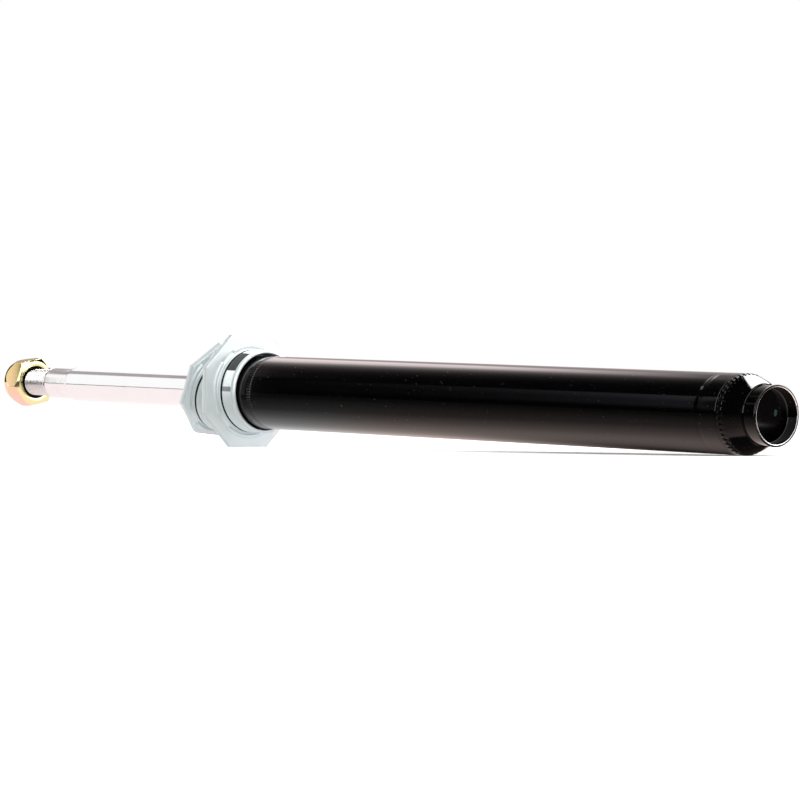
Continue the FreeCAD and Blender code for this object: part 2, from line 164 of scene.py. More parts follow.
class DamperGlandNuts(bpy.types.PropertyGroup):
    """Sizes of the two eight-sided gland nuts."""

    lower_flats: length("Lower flats", "Larger nut's distance across flats", 65.0 * MM)
    lower_turn: angle("Lower turn", "Larger nut's first corner from up", 22.5)
    lower_collar: length("Lower collar", "Radius of the larger nut's thread", 24.0 * MM)
    lower_collar_length: length("Lower collar length", "Length of the larger nut's collar", 15.0 * MM)
    lower_plain: length("Lower plain", "Unthreaded end of the larger nut's collar", 2.5 * MM)
    lower_bore: length("Lower bore", "Radius of the larger nut's bore", 22.1 * MM)
    lower_hole: length("Lower hole", "Radius of the hole in the larger nut's plate", 16.0 * MM)
    upper_flats: length("Upper flats", "Smaller nut's distance across flats", 55.0 * MM)
    upper_turn: angle("Upper turn", "Smaller nut's first corner from up", 16.8)
    upper_tilt: angle("Upper tilt", "Lean of the smaller nut on the rod", 17.0)
    upper_place: FloatVectorProperty(name="Upper place", description="Middle of the smaller nut's plate face",
                                     default=(443.8 * MM, 0.0, 0.12 * MM), precision=5, subtype="XYZ",
                                     unit="LENGTH")
    upper_collar: length("Upper collar", "Radius of the smaller nut's thread", 23.0 * MM)
    upper_collar_length: length("Upper collar length", "Length of the smaller nut's collar", 13.0 * MM)
    upper_plain: length("Upper plain", "Unthreaded end of the smaller nut's collar", 1.4 * MM)
    upper_bore: length("Upper bore", "Radius of the smaller nut's bore", 20.0 * MM)
    upper_hole: length("Upper hole", "Radius of the rod's hole in the smaller nut", 11.8 * MM)
    upper_hole_length: length("Upper hole length", "Length of that hole", 8.0 * MM)
    plate: length("Plate", "Thickness of the eight-sided plates", 3.6 * MM)
    plate_corner: length("Plate corner", "Rounding of the plates' corners", 1.6 * MM)
    plate_edge: length("Plate edge", "Rounding of the plates' edges", 0.55 * MM)
    fillet: length("Fillet", "Hollow rounding at the collar's root", 2.5 * MM)
    undercut: length("Undercut", "Depth of the groove behind the collar's thread", 0.6 * MM)
    undercut_width: length("Undercut width", "Width of that groove", 1.7 * MM)
    rim: length("Rim", "Bevel of the collar's rim", 0.8 * MM)
    bar_count: IntProperty(name="Bars", description="Number of raised bars round each collar", default=4)
    bar_gap: length("Bar gap", "From the collar's thread to the middle of a bar", 2.1 * MM)
    bar_width: length("Bar width", "Width of a bar", 2.8 * MM)
    bar_height: length("Bar height", "How far a bar stands out of the plate", 1.1 * MM)
    bar_span: angle("Bar span", "Angle that a bar covers", 70.0)
    bar_turn: angle("Bar turn", "First bar's middle from up", 86.0)
    thread_pitch: length("Thread pitch", "Pitch of the collars' thread", 1.5 * MM)
    thread_depth: length("Thread depth", "Depth of the collars' thread", 0.8 * MM)


class DamperColours(bpy.types.PropertyGroup):
    """Colours of the finishes."""

    paint: colour("Paint", "Gloss enamel of the tube and foot", (0.0006, 0.0006, 0.0007))
    dust: colour("Dust", "Specks of dust on the enamel", (0.22, 0.21, 0.2))
    chrome: colour("Chrome", "Hard chrome of the rod", (0.9, 0.9, 0.91))
    ground_steel: colour("Ground steel", "Bare ground steel of the seat and stud", (0.9, 0.88, 0.885))
    zinc: colour("Zinc", "Blue-bright zinc of the gland nuts", (0.86, 0.93, 0.94))
    zinc_haze: colour("Zinc haze", "Duller patches of that zinc", (0.76, 0.82, 0.83))
    zinc_sheen: colour("Zinc sheen", "Blue sheen that drifts over that zinc", (0.72, 0.8, 0.9))
    # Painted shade: this dark colour is painted into the collars' undercuts.
    grime: colour("Grime", "Dark oil in the collars' undercuts", (0.05, 0.062, 0.068))
    # A dark colour on the larger nut's thread, in a broad patch and a thin tick.
    locking_patch: colour("Locking patch", "Locking paint on the larger nut's thread", (0.05, 0.054, 0.057))
    gold: colour("Gold", "Yellow chromate on the rod nut", (0.86, 0.62, 0.28))
    rose: colour("Rose", "Pink sheen in the yellow chromate", (0.9, 0.6, 0.5))
    olive: colour("Olive", "Green sheen in the yellow chromate", (0.84, 0.82, 0.42))
    dab: colour("Dab", "Inspection dab of paint", (0.006, 0.036, 0.028))
    steel: colour("Steel", "Machined steel inside", (0.5, 0.5, 0.5))
    spring_steel: colour("Spring steel", "Tempered spring steel", (0.34, 0.35, 0.38))
    aluminium: colour("Aluminium", "Die-cast rod guide", (0.72, 0.73, 0.74))
    bronze: colour("Bronze", "Sintered bronze bush", (0.62, 0.44, 0.2))
    iron: colour("Iron", "Sintered iron of the piston and foot valve", (0.24, 0.24, 0.25))
    rubber: colour("Rubber", "Moulded rubber of the seals", (0.03, 0.03, 0.03))
    polymer: colour("Polymer", "Filled polymer of the band and cushion", (0.42, 0.36, 0.26))


class DamperStage(bpy.types.PropertyGroup):
    """The camera, the floor and the lights."""

    camera_place: FloatVectorProperty(name="Camera place", description="Where the camera stands",
                                      default=(-1.5697, 1.5735, 0.0544), precision=4, subtype="XYZ",
                                      unit="LENGTH")
    camera_aim: FloatVectorProperty(name="Camera aim", description="The way the camera looks",
                                    default=(0.76237, -0.64674, -0.02267), precision=5, subtype="DIRECTION")
    camera_up: FloatVectorProperty(name="Camera up", description="The way that is up in the picture",
                                   default=(0.02972, 0.0, 0.99956), precision=5, subtype="DIRECTION")
    camera_lens: FloatProperty(name="Camera lens", description="Focal length in millimetres on a 36 mm frame",
                               default=196.97, unit="CAMERA")
    floor_size: length("Floor size", "Width and depth of the floor", 9.0)
    floor_colour: colour("Floor colour", "Pale floor, a little warm", (0.9, 0.87, 0.855))


class Reading:
    """A value on its way through a shader; arithmetic on it adds Math nodes."""

    def __init__(self, shader, socket):
        self.shader = shader
        self.socket = socket

    def combined(self, operation, first, second):
        """Adds one Math node."""
        return self.shader.node("ShaderNodeMath", {"operation": operation}, {0: first, 1: second})

    def __add__(self, other):
        return self.combined("ADD", self, other)

    def __radd__(self, other):
        return self.combined("ADD", other, self)

    def __sub__(self, other):
        return self.combined("SUBTRACT", self, other)

    def __rsub__(self, other):
        return self.combined("SUBTRACT", other, self)

    def __mul__(self, other):
        return self.combined("MULTIPLY", self, other)

    def __rmul__(self, other):
        return self.combined("MULTIPLY", other, self)

    def __pow__(self, other):
        return self.combined("POWER", self, other)

    def __rpow__(self, other):
        return self.combined("POWER", other, self)


class Shader:
    """One node tree and the calls that fill it."""

    def __init__(self, tree):
        self.tree = tree
        tree.nodes.clear()

    def node(self, kind, settings=None, sockets=None, output=0):
        """Adds a node: its settings first, then the values or links of its sockets."""
        made = self.tree.nodes.new(kind)
        for name, value in (settings or {}).items():
            if name == "stops":
                self.set_stops(made.color_ramp, value)
            else:
                setattr(made, name, value)
        for name, value in (sockets or {}).items():
            if isinstance(value, Reading):
                self.tree.links.new(value.socket, made.inputs[name])
            else:
                made.inputs[name].default_value = value
        if made.outputs:
            return Reading(self, made.outputs[output])
        return None

    def set_stops(self, ramp, stops):
        """Places a ramp's stops; it always starts with two."""
        while len(ramp.elements) < len(stops):
            ramp.elements.new(1.0)
        for element, (position, value) in zip(ramp.elements, stops):
            element.position = position
            element.color = value

    def place(self):
        """A point of the surface in the damper's own frame."""
        return self.node("ShaderNodeTexCoord", output="Object")

    def part(self, vector, letter):
        """One of X, Y and Z of a vector."""
        return self.node("ShaderNodeSeparateXYZ", None, {"Vector": vector}, output=letter)

    def stretched(self, vector, scale):
        """A vector scaled along each axis."""
        return self.node("ShaderNodeVectorMath", {"operation": "MULTIPLY"}, {0: vector, 1: scale})

    def noise(self, vector, scale=1.0, detail=2.0, roughness=0.5):
        """Smooth noise from 0 to 1, with scale features in a metre."""
        return self.node("ShaderNodeTexNoise", None, {"Vector": vector, "Scale": scale, "Detail": detail,
                                                      "Roughness": roughness})

    def window(self, value, low, high):
        """0 below low, 1 above high, and smooth between them."""
        return self.node("ShaderNodeMapRange", {"interpolation_type": "SMOOTHSTEP"},
                         {"Value": value, "From Min": low, "From Max": high})

    def least(self, first, second):
        """The smaller of two values."""
        return self.node("ShaderNodeMath", {"operation": "MINIMUM"}, {0: first, 1: second})

    def most(self, first, second):
        """The larger of two values."""
        return self.node("ShaderNodeMath", {"operation": "MAXIMUM"}, {0: first, 1: second})

    def blend(self, factor, first, second):
        """From the first colour to the second."""
        return self.node("ShaderNodeMix", {"data_type": "RGBA"}, {0: factor, 6: first, 7: second}, output=2)

    def levels(self, factor, stops):
        """A value read off a row of stops, each a position and a value; the ramp's alpha carries it."""
        stops = [(position, (value, value, value, value)) for position, value in stops]
        return self.node("ShaderNodeValToRGB", {"stops": stops}, {"Fac": factor}, output="Alpha")

    def bump(self, height, strength, distance):
        """A normal tilted by a height."""
        return self.node("ShaderNodeBump", None,
                         {"Height": height, "Strength": strength, "Distance": distance})

    def rays(self, kind):
        """1 for a ray of a kind, such as Camera or Glossy, and otherwise 0."""
        return self.node("ShaderNodeLightPath", output="Is %s Ray" % kind)

    def in_view(self):
        """1 for what the camera sees, by itself or through something clear."""
        return self.rays("Camera") + self.rays("Transmission")

    def past_radius(self, vector, low, high):
        """0 nearer to the damper's axis than low, 1 further out than high."""
        y, z = self.part(vector, "Y"), self.part(vector, "Z")
        return self.window(y * y + z * z, low ** 2, high ** 2)

    def surface(self, sockets):
        """Ends a material with one shader that carries these sockets."""
        body = self.node("ShaderNodeBsdfPrincipled", None, sockets)
        self.node("ShaderNodeOutputMaterial", None, {"Surface": body})

    def glow(self, sockets):
        """Ends a material with plain light that carries these sockets."""
        light = self.node("ShaderNodeEmission", None, sockets)
        self.node("ShaderNodeOutputMaterial", None, {"Surface": light})


def opaque(value, scale=1.0):
    """A colour with alpha, made lighter or darker."""
    return tuple(min(1.0, part * scale) for part in value) + (1.0,)


def new_material(name):
    """An empty material and the shader that fills it."""
    material = bpy.data.materials.new(name)
    material.use_nodes = True
    return material, Shader(material.node_tree)


def gloss_paint(colours):
    """Sprayed enamel: a slight orange peel, cloudy gloss and a few specks of dust."""
    material, shader = new_material("gloss_black_enamel")
    place = shader.place()
    cloud = shader.noise(place, scale=38.0, detail=3.0)
    peel = shader.noise(place, scale=520.0)
    specks = shader.window(shader.noise(place, scale=1150.0, detail=1.0), low=0.765, high=0.8)
    paint = shader.blend(cloud, opaque(colours.paint), opaque(colours.paint, 1.8))
    roughness = 0.04 + cloud * 0.05 + specks * 0.4
    shader.surface({"Base Color": shader.blend(specks * 0.75, paint, opaque(colours.dust)),
                    "Roughness": roughness, "IOR": 1.5,
                    "Normal": shader.bump(peel + specks * 0.6, strength=0.05, distance=0.1 * MM)})
    return material


def painted_rim_highlight(colours):
    """A painted highlight on an enamel edge: bright steel, broken by flecks of enamel."""
    material, shader = new_material("rubbed_enamel_rim")
    place = shader.place()
    # Painted highlight: bright steel where the gloss rim would catch a lamp, broken up by noise.
    painted_highlight = shader.window(shader.noise(place, scale=900.0, detail=4.0, roughness=0.65), low=0.36, high=0.44)
    grain = shader.noise(place, scale=2600.0)
    base = shader.blend(painted_highlight, opaque(colours.paint, 2.0), opaque(colours.ground_steel, 1.1))
    shader.surface({"Base Color": base, "Metallic": painted_highlight, "Roughness": 0.2 + grain * 0.16,
                    "Normal": shader.bump(painted_highlight + grain * 0.3, strength=0.1, distance=0.05 * MM)})
    return material


def hard_chrome(colours):
    """Ground and plated rod: fine rings of polishing, faint smears and a few hairline scratches."""
    material, shader = new_material("hard_chrome")
    place = shader.place()
    rings = shader.noise(shader.stretched(place, (9000.0, 160.0, 160.0)))
    smear = shader.noise(shader.stretched(place, (60.0, 45.0, 45.0)), detail=3.0)
    hairs = shader.noise(shader.stretched(place, (70.0, 2400.0, 2400.0)))
    scratch = shader.window(hairs, low=0.7, high=0.74)
    base = shader.blend(smear, opaque(colours.chrome), opaque(colours.chrome, 0.95))
    roughness = 0.05 + smear * 0.06 + scratch * 0.08
    shader.surface({"Base Color": base, "Metallic": 1.0, "Roughness": roughness,
                    "Normal": shader.bump(rings - scratch * 0.5, strength=0.03, distance=0.02 * MM)})
    return material


def ground_steel(colours):
    """Bare turned steel of the seat and the tenon, with its turning marks."""
    material, shader = new_material("turned_steel")
    place = shader.place()
    marks = shader.noise(shader.stretched(place, (3200.0, 60.0, 60.0)))
    stain = shader.noise(place, scale=130.0, detail=4.0)
    base = shader.blend(stain, opaque(colours.ground_steel, 1.08), opaque(colours.ground_steel, 0.86))
    shader.surface({"Base Color": base, "Metallic": 1.0, "Roughness": 0.08 + marks * 0.08 + stain * 0.05,
                    "Normal": shader.bump(marks, strength=0.1, distance=0.04 * MM)})
    return material


def thread_steel(colours):
    """Rolled thread: darker, with painted shade in its roots and burnished on its crests."""
    material, shader = new_material("thread_steel")
    place = shader.place()
    grime = shader.noise(place, scale=420.0, detail=4.0)
    grain = shader.noise(place, scale=2400.0)
    base = shader.blend(grime, opaque(colours.ground_steel), opaque(colours.ground_steel, 0.72))
    # Painted shade: the thread's roots are painted darker.
    root = 1 - shader.past_radius(place, 7.3 * MM, 7.8 * MM)
    base = shader.blend(root * 0.8, base, opaque(colours.ground_steel, 0.2))
    shader.surface({"Base Color": base, "Metallic": 1.0, "Roughness": 0.2 + grime * 0.12,
                    "Normal": shader.bump(grain, strength=0.12, distance=0.04 * MM)})
    return material


def bright_zinc(colours, name="blue_bright_zinc", patch=False):
    """Blue-bright zinc over turned steel, hazy and satin, and where asked with a dark patch."""
    material, shader = new_material(name)
    place = shader.place()
    haze = shader.noise(place, scale=75.0, detail=4.0, roughness=0.6)
    grain = shader.noise(place, scale=1900.0, detail=3.0)
    sheen = shader.window(shader.noise(place, scale=24.0), low=0.45, high=0.75)
    marks = shader.noise(shader.stretched(place, (2600.0, 420.0, 420.0)))
    base = shader.blend(haze, opaque(colours.zinc), opaque(colours.zinc_haze))
    base = shader.blend(sheen * 0.25, base, opaque(colours.zinc_sheen))
    metal = 0.4
    roughness = 0.3 + haze * 0.1 + grain * 0.04
    if patch:
        covered = locking_patch(shader, place)
        base = shader.blend(covered, base, opaque(colours.locking_patch))
        metal = (1 - covered) * metal
        roughness = roughness + covered * 0.3
    shader.surface({"Base Color": base, "Metallic": metal, "Roughness": roughness,
                    "Normal": shader.bump(grain * 0.5 + marks * 0.5, strength=0.06, distance=0.05 * MM)})
    return material


def locking_patch(shader, place):
    """1 on the larger nut's thread where it is darkened: a broad patch, and a thin tick below it."""
    edge = 0.3 * MM
    start, end = 407.4 * MM, 416.4 * MM
    lower_slope, upper_slope = 0.6, 2.35
    tick_low, tick_high = 0.3 * MM, 3.0 * MM
    tick_strength = 0.7
    x, y, z = (shader.part(place, letter) for letter in "XYZ")
    lengthwise = shader.window(x, start, start + edge) * (1 - shader.window(x, end, end + edge))
    broad = shader.window(z - y * lower_slope, 0, edge) * shader.window(y * upper_slope - z, 0, edge)
    tick = shader.window(z, tick_low, tick_low + edge)
    tick = tick * (1 - shader.window(z, tick_high, tick_high + 0.4 * MM))
    near_side = shader.window(y, 0, MM)
    return lengthwise * shader.most(broad, tick * near_side * tick_strength)


def patched_zinc(colours):
    """The larger nut's zinc, with its dark patch."""
    return bright_zinc(colours, "patched_zinc", True)


def yellow_zinc(colours):
    """Yellow chromate: its gold drifts to rose and olive from face to face, and its countersinks hold painted
    shade.
    """
    material, shader = new_material("yellow_chromate")
    place = shader.place()
    drift = shader.noise(place, scale=95.0, detail=3.0, roughness=0.55)
    grain = shader.noise(place, scale=2100.0, detail=3.0)
    across = shader.part(place, "Y") * 30.0 + 0.5
    down = 0.5 - shader.part(place, "Z") * 34.0
    near_face = 1 - shader.window(shader.part(place, "X"), 632.2 * MM, 633.5 * MM)
    rosy = shader.window(down * 0.8 + drift * 0.4, low=0.45, high=0.95)
    hue = shader.blend(rosy, opaque(colours.gold), opaque(colours.rose))
    hue = shader.blend(shader.window(across, low=0.1, high=0.5), opaque(colours.olive), hue)
    base = shader.blend(near_face * 0.8, hue, opaque(colours.olive, 1.08))
    # Painted shade: the countersinks are painted almost black.
    sunk = 1 - shader.past_radius(place, 9.9 * MM, 10.2 * MM)
    base = shader.blend(sunk, base, opaque(colours.olive, 0.02))
    shader.surface({"Base Color": base, "Metallic": 1.0, "Roughness": 0.08 + drift * 0.06,
                    "Normal": shader.bump(grain + drift * 0.5, strength=0.06, distance=0.05 * MM)})
    return material


def brushed_metal(name, tint, roughness, pitch):
    """A machined metal inside the damper: tool marks, so many to a metre, under an uneven film of oil."""
    material, shader = new_material(name)
    place = shader.place()
    across = pitch * 0.15
    marks = shader.noise(shader.stretched(place, (pitch, across, across)))
    film = shader.noise(place, scale=110.0, detail=4.0)
    base = shader.blend(film, opaque(tint, 1.1), opaque(tint, 0.78))
    shader.surface({"Base Color": base, "Metallic": 1.0, "Roughness": roughness + marks * 0.14 + film * 0.06,
                    "Normal": shader.bump(marks, strength=0.1, distance=0.05 * MM)})
    return material


def pressed_powder(name, tint):
    """A sintered metal: a dark skin full of fine pores."""
    material, shader = new_material(name)
    place = shader.place()
    pores = shader.node("ShaderNodeTexVoronoi", None, {"Vector": place, "Scale": 1700.0}, output="Distance")
    cloud = shader.noise(place, scale=160.0, detail=3.0)
    open_pores = 1 - shader.window(pores, low=0.1, high=0.3)
    skin = shader.blend(cloud, opaque(tint, 1.15), opaque(tint, 0.85))
    base = shader.blend(open_pores * 0.7, skin, opaque(tint, 0.35))
    shader.surface({"Base Color": base, "Metallic": 0.85, "Roughness": 0.42 + cloud * 0.14,
                    "Normal": shader.bump(pores, strength=0.25, distance=0.06 * MM)})
    return material


def moulded(name, tint, roughness):
    """Moulded rubber or polymer: a fine grain and a bloom of lighter patches."""
    material, shader = new_material(name)
    place = shader.place()
    bloom = shader.noise(place, scale=140.0, detail=4.0)
    grain = shader.noise(place, scale=2500.0)
    base = shader.blend(bloom, opaque(tint, 0.85), opaque(tint, 1.3))
    shader.surface({"Base Color": base, "Roughness": roughness + bloom * 0.15, "IOR": 1.45,
                    "Normal": shader.bump(grain + bloom * 0.3, strength=0.15, distance=0.06 * MM)})
    return material


def inspection_paint(colours):
    """A brushed dab of paint, cloudy and slightly rough."""
    material, shader = new_material("inspection_paint")
    place = shader.place()
    cloud = shader.noise(place, scale=900.0, detail=3.0)
    base = shader.blend(cloud, opaque(colours.dab), opaque(colours.dab, 1.9))
    shader.surface({"Base Color": base, "Roughness": 0.3 + cloud * 0.2,
                    "Normal": shader.bump(cloud, strength=0.2, distance=0.1 * MM)})
    return material


def even_angles(count, first=0.0):
    """Angles spaced evenly round the axis, from the first one."""
    return [first + FULL_TURN * step / count for step in range(count)]


def spread(low, high, steps):
    """Evenly spaced numbers from low to high, both included."""
    return [low + (high - low) * step / steps for step in range(steps + 1)]


def arc(centre_x, centre_r, radius, start, end, steps):
    """Hoops along a rounded stretch; angles in degrees, 0 along the axis and 90 outwards."""
    hoops = []
    for degrees in spread(start, end, steps):
        turn = math.radians(degrees)
        hoops.append((centre_x + radius * math.cos(turn), centre_r + radius * math.sin(turn)))
    return hoops


def arc_through(first, middle, last, steps):
    """Hoops along the circle through three points of an outline."""
    (ax, ay), (bx, by), (cx, cy) = first, middle, last
    scale = 2 * (ax * (by - cy) + bx * (cy - ay) + cx * (ay - by))
    a_sum = ax * ax + ay * ay
    b_sum = bx * bx + by * by
    c_sum = cx * cx + cy * cy
    centre_x = (a_sum * (by - cy) + b_sum * (cy - ay) + c_sum * (ay - by)) / scale
    centre_r = (a_sum * (cx - bx) + b_sum * (ax - cx) + c_sum * (bx - ax)) / scale
    radius = math.hypot(ax - centre_x, ay - centre_r)
    start = math.degrees(math.atan2(ay - centre_r, ax - centre_x))
    end = math.degrees(math.atan2(cy - centre_r, cx - centre_x))
    return arc(centre_x, centre_r, radius, start, end, steps)


def smooth(value):
    """An ease from 0 to 1."""
    held = min(1.0, max(0.0, value))
    return held * held * (3 - 2 * held)


def hump(value, middle, half_width):
    """1 at the middle, falling smoothly to 0 at half a width on each side."""
    return smooth(1 - abs(value - middle) / half_width)


def notched(count, depth, width, outer, open_end, round_end):
    """A hoop's radius where a ring of notches crosses it; a notch is open at one end, round at the other."""
    pitch = FULL_TURN * outer / count
    half = width / 2
    flank = half * 0.55

    def radius(x, plain, turn):
        aside = ((turn / FULL_TURN * count) % 1 - 0.5) * pitch
        past = max(0.0, x - (round_end - half), open_end - x)
        inside = half - math.hypot(aside, past)
        return min(plain, outer - depth * smooth(inside / flank))

    return radius


def threaded(start, end, depth, pitch):
    """A hoop's radius on a screw thread that runs out at both ends."""
    crest, flank = 0.14, 0.72

    def radius(x, plain, turn):
        phase = (x / pitch - turn / FULL_TURN) % 1
        groove = min(1.0, max(0.0, (abs(2 * phase - 1) - crest) / flank))
        fade = min(smooth(abs(x - start) / pitch), smooth(abs(end - x) / pitch))
        return plain - depth * groove * fade

    return radius


def thread_hoops(start, end, radius, depth, pitch):
    """Close hoops that carry a screw thread."""
    shape = threaded(start, end, depth, pitch)
    steps = int(abs(end - start) / pitch * THREAD_STEPS)
    return [(x, radius, shape) for x in spread(start, end, steps)]


def flat_sided(sides, flats, turn, corner):
    """The radius round a flat-sided shape with rounded corners, and the angles that follow it closely."""
    half = math.pi / sides
    reach = (flats / 2 - corner) / math.cos(half)
    limit = math.atan2(corner * math.sin(half), reach + corner * math.cos(half))

    def radius(direction):
        away = (direction - turn + half) % (2 * half) - half
        if abs(away) < limit:
            return reach * math.cos(away) + math.sqrt(corner ** 2 - (reach * math.sin(away)) ** 2)
        return flats / 2 / math.cos(half - abs(away))

    angles = []
    for side in range(sides):
        middle = turn + 2 * half * side
        angles += [middle + offset for offset in spread(-limit, limit, CORNER_STEPS)]
        angles += [middle + offset for offset in spread(limit, 2 * half - limit, SIDE_STEPS)[1:-1]]
    return radius, angles


def lathe(name, hoops, angles, finishes, closed=False, place=Matrix(), finish_at=None):
    """A mesh from hoops round the X axis; a hoop is (x, radius) or (x, radius, shape).

    finish_at takes the x and radius between two hoops and gives the number of the finish there.
    """
    builder = bmesh.new()
    rows = []
    for hoop in hoops:
        x, plain = hoop[0], hoop[1]
        if plain == 0:
            rows.append([builder.verts.new(place @ Vector((x, 0, 0)))])
            continue
        row = []
        for turn in angles:
            radius = hoop[2](x, plain, turn) if len(hoop) > 2 else plain
            corner = Vector((x, radius * math.sin(turn), radius * math.cos(turn)))
            row.append(builder.verts.new(place @ corner))
        rows.append(row)
    pairs = list(zip(range(len(rows)), range(1, len(rows))))
    if closed:
        pairs.append((len(rows) - 1, 0))
    for first, second in pairs:
        between = [(a + b) / 2 for a, b in zip(hoops[first][:2], hoops[second][:2])]
        number = finish_at(*between) if finish_at else 0
        for step in range(len(angles)):
            after = (step + 1) % len(angles)
            row, other = rows[first], rows[second]
            corners = [row[step % len(row)], row[after % len(row)], other[after % len(other)],
                       other[step % len(other)]]
            face = builder.faces.new(list(dict.fromkeys(corners)))
            face.smooth = True
            face.material_index = number
    bmesh.ops.recalc_face_normals(builder, faces=builder.faces)
    mesh = bpy.data.meshes.new(name)
    builder.to_mesh(mesh)
    builder.free()
    mesh.set_sharp_from_angle(angle=CREASE_ANGLE)
    for material in finishes:
        mesh.materials.append(material)
    piece = bpy.data.objects.new(name, mesh)
    bpy.context.scene.collection.objects.link(piece)
    return piece


def finish(name):
    """A finish that an earlier operator made."""
    material = bpy.data.materials.get(name)
    if material is None:
        raise RuntimeError("make the finishes first: " + name)
    return material


class DAMPER_OT_finishes(bpy.types.Operator):
    """Make the finishes and give them to the pieces inside the damper"""

    bl_idname = "damper.finishes"
    bl_label = "Finishes"

    def execute(self, context):
        colours = context.scene.damper_colours
        for make in (gloss_paint, painted_rim_highlight, hard_chrome, ground_steel, thread_steel, bright_zinc,
                     patched_zinc, yellow_zinc, inspection_paint):
            make(colours)
        # Painted shade: a dark finish for the collars' undercut grooves.
        brushed_metal("undercut_grime", colours.grime, roughness=0.5, pitch=1500.0)
        by_slot = {
            "plain_steel": brushed_metal("machined_steel", colours.steel, roughness=0.22, pitch=2400.0),
            "spring_steel": brushed_metal("tempered_steel", colours.spring_steel, roughness=0.2, pitch=3600.0),
            "aluminium": brushed_metal("cast_aluminium", colours.aluminium, roughness=0.3, pitch=1500.0),
            "bronze": pressed_powder("sintered_bronze", colours.bronze),
            "sintered_iron": pressed_powder("sintered_iron", colours.iron),
            "seal_rubber": moulded("seal_rubber", colours.rubber, roughness=0.45),
            "polymer": moulded("filled_polymer", colours.polymer, roughness=0.4),
            "black_paint": finish("gloss_black_enamel"),
            "chrome": finish("hard_chrome"),
            "yellow_zinc": finish("yellow_chromate"),
            "bright_zinc": finish("blue_bright_zinc"),
        }
        for subpart in frame["record"]["subparts"]:
            solid = frame["nodes"][subpart["node"]]
            material = by_slot[subpart["material_slot"]]
            for slot in solid.material_slots:
                slot.material = material
        return {"FINISHED"}


class DAMPER_OT_tube(bpy.types.Operator):
    """Make the painted tube with its neck groove, crimp marks and rolled top"""

    bl_idname = "damper.tube"
    bl_label = "Painted tube"

    def execute(self, context):
        tube = context.scene.damper_tube
        radius = tube.radius
        bore = radius - tube.wall
        roll = tube.end - tube.roll_thickness
        bend = tube.end - tube.wall
        lap = 0.1 * MM
        ease = 0.25 * MM
        guard = 0.6 * MM
        neck_half = 2.6 * MM
        neck_from, neck_to = tube.neck - neck_half, tube.neck + neck_half
        mark_width = 0.7 * MM
        mark_half = 1.7 * MM
        mark_reach = mark_half * 1.3
        marks_from, marks_to = tube.crimp - mark_reach, tube.crimp + mark_reach
        marks = notched(tube.crimp_count, tube.crimp_depth, mark_width, radius, tube.crimp - mark_half,
                        tube.crimp + mark_half)
        hoops = [(tube.start, bore), (tube.start, radius - lap), (tube.start + lap, radius),
                 (tube.start + guard, radius), (neck_from - guard, radius)]
        hoops += [(x, radius - tube.neck_depth * hump(x, tube.neck, neck_half))
                  for x in spread(neck_from, neck_to, steps=14)]
        hoops += [(neck_to + guard, radius), (marks_from - guard, radius)]
        hoops += [(x, radius, marks) for x in spread(marks_from, marks_to, steps=16)]
        hoops += [(marks_to + guard, radius), (bend - guard, radius)]
        hoops += arc(bend, bore, tube.wall, start=90, end=0, steps=8)
        hoops += [(tube.end, tube.roll_hole + ease), (tube.end - ease, tube.roll_hole),
                  (roll, tube.roll_hole), (roll, bore)]
        piece = lathe("painted_tube", hoops, even_angles(tube.crimp_count * CRIMP_STEPS),
                      [finish("gloss_black_enamel")], closed=True)
        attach(piece, "damper_body")
        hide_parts("outer_tube")
        return {"FINISHED"}


